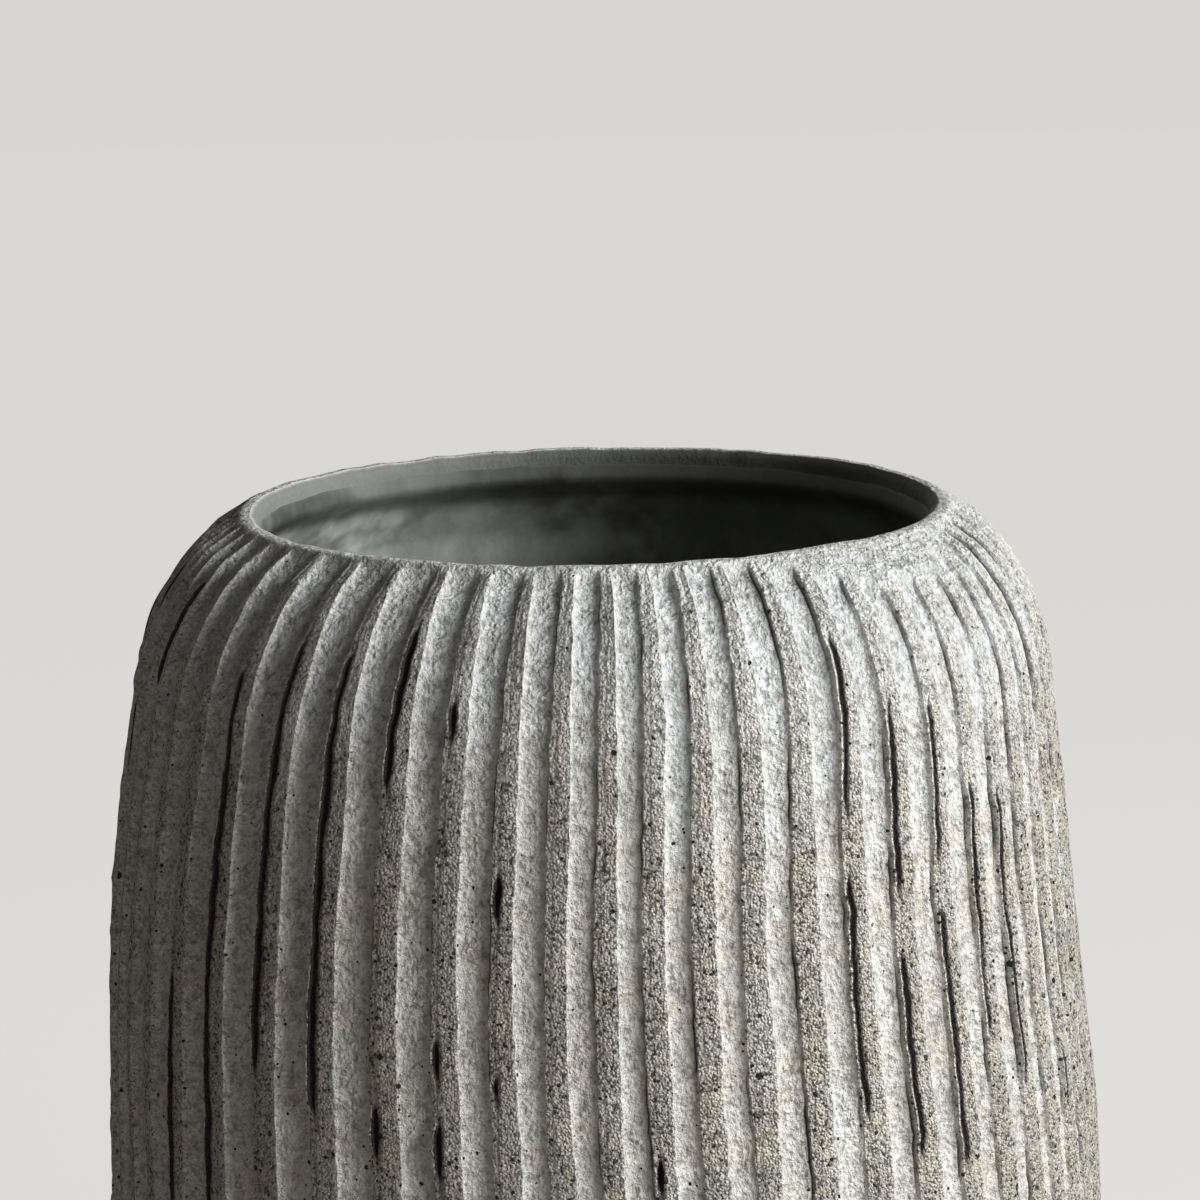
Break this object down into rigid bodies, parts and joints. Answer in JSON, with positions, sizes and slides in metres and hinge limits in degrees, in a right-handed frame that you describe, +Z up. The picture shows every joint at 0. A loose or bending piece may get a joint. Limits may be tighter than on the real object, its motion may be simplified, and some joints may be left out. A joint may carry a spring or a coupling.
{
  "type": "urn vase",
  "caption": "Round-shouldered stoneware urn vase with hand-gouged vertical flutes, a plain rolled lip, a wide open mouth and a flat padded foot.",
  "frame": {"origin": "centre of the vase on the ground, under the foot pads", "axes": "+Z up along the vessel's axis through the mouth; -Y is the side that faces the viewer"},
  "size_m": [0.24, 0.24, 0.31],
  "materials": {
    "stoneware": "rough grogged stoneware, gouged, wiped with a thin pale wash",
    "lip_clay": "rough grogged stoneware, rolled by hand",
    "base_clay": "bare grogged stoneware, sanded flat below",
    "liner_glaze": "thin matt grey sealing glaze",
    "felt": "pressed grey felt"
  },
  "bodies": {
    "root": {"fluted_wall": "stoneware", "lip_coil": "lip_clay", "floor_slab": "base_clay", "glaze_lining": "liner_glaze", "felt_pads": "felt"}
  },
  "joints": []
}
